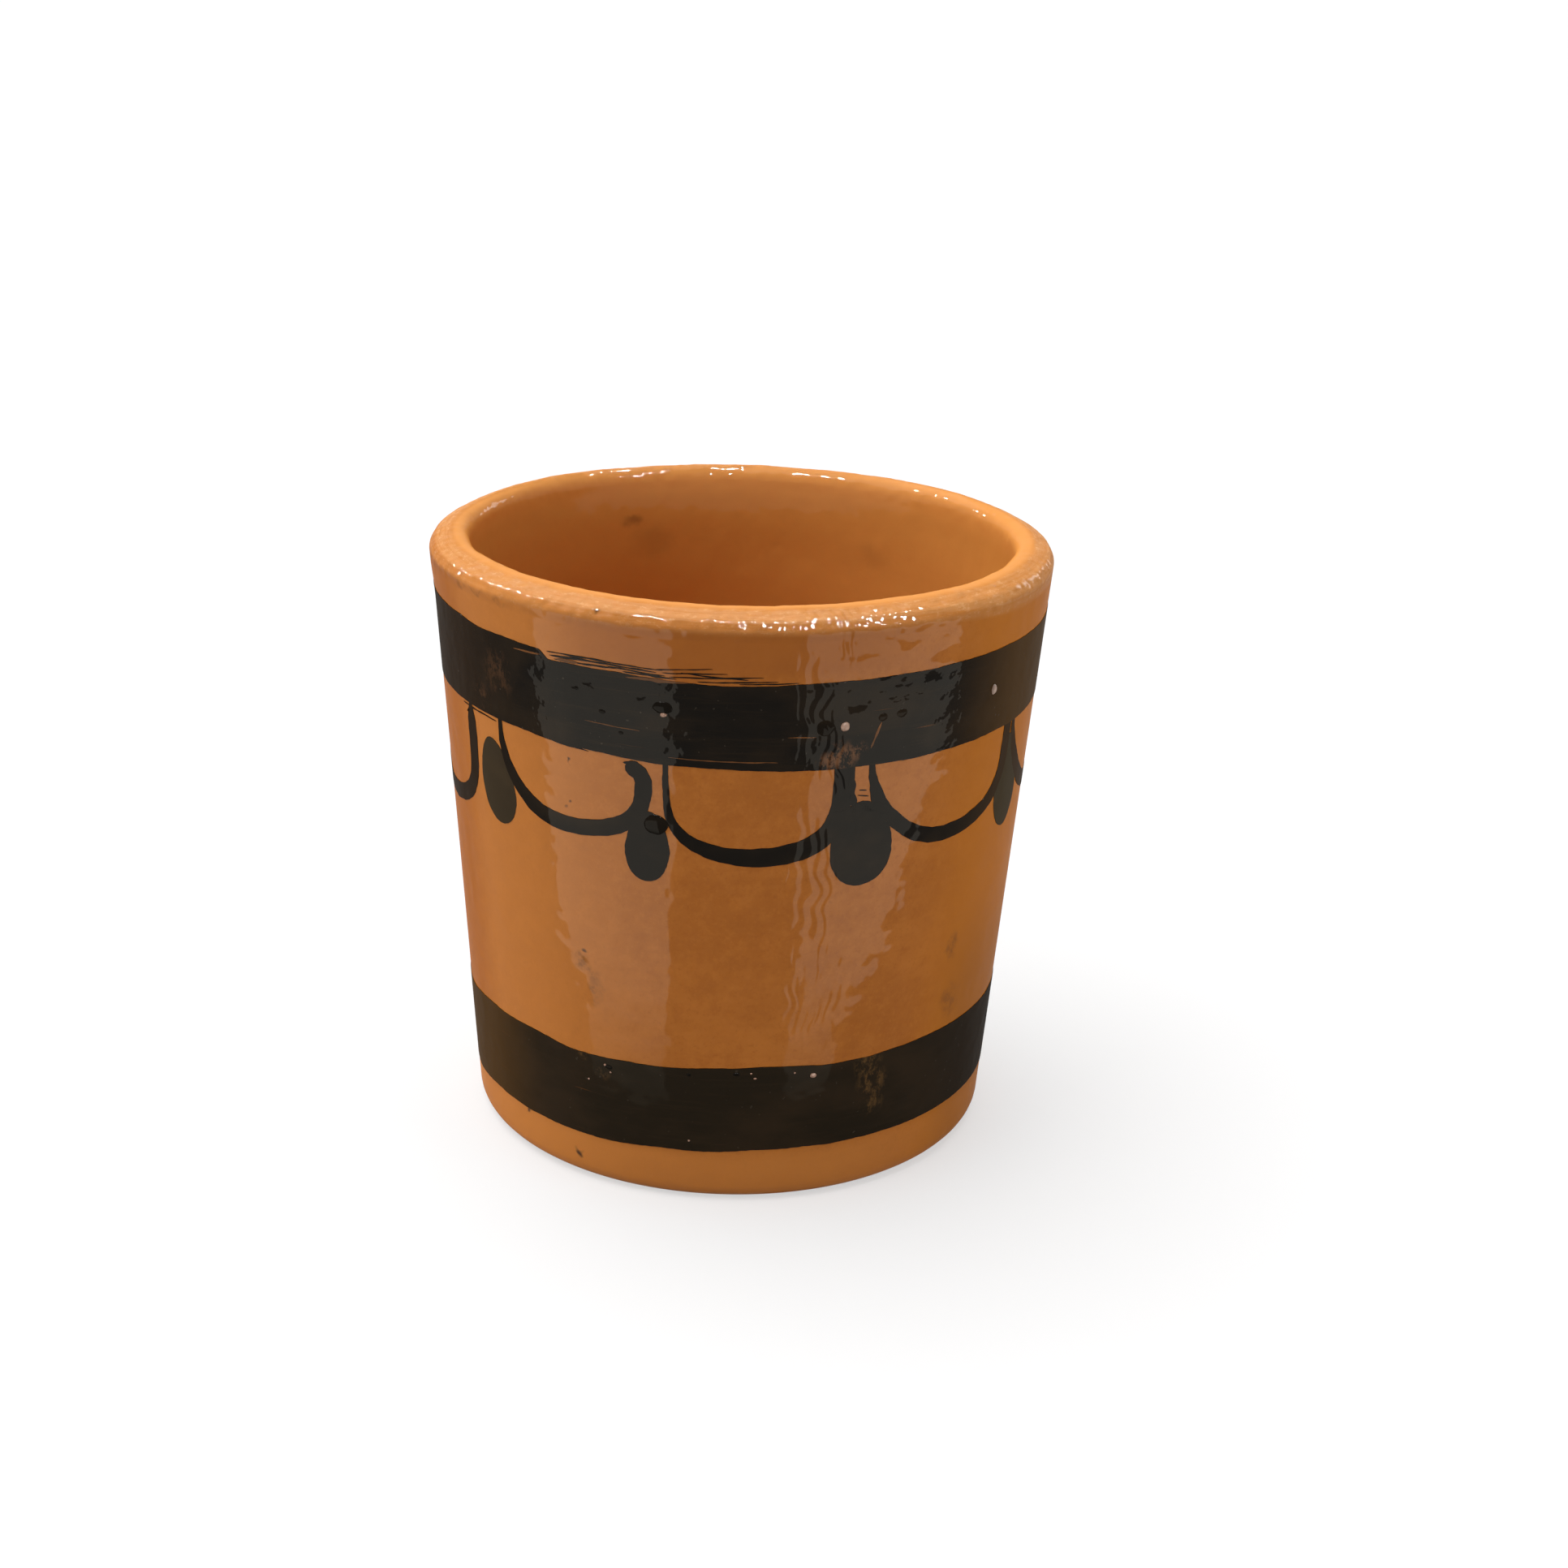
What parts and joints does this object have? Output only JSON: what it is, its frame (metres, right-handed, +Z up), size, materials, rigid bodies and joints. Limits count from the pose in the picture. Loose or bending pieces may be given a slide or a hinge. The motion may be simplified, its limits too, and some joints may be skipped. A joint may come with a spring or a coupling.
{
  "type": "coffee cup",
  "caption": "Tapered earthenware coffee cup without a handle, with a thick rounded lip, brushed dark bands and a hanging scallop and drop border under a clear glaze.",
  "frame": {"origin": "centre of the foot, on the surface that the cup stands on", "axes": "+Z up along the turning axis of the cup, -Y towards the front that the picture shows, +X to the right of that view"},
  "size_m": [0.0898, 0.0898, 0.0885],
  "materials": {
    "clay": "clear glaze over orange-brown earthenware",
    "slip": "brown-black slip paint under the clear glaze"
  },
  "bodies": {
    "root": {"clay_body": "clay", "upper_band": "slip", "lower_band": "slip", "scallop_1": "slip", "scallop_2": "slip", "scallop_3": "slip", "scallop_4": "slip", "scallop_5": "slip", "scallop_6": "slip", "scallop_7": "slip", "scallop_8": "slip", "scallop_9": "slip", "drop_1": "slip", "drop_2": "slip", "drop_3": "slip", "drop_4": "slip", "drop_5": "slip", "drop_6": "slip", "drop_7": "slip", "drop_8": "slip", "drop_9": "slip"}
  },
  "joints": []
}
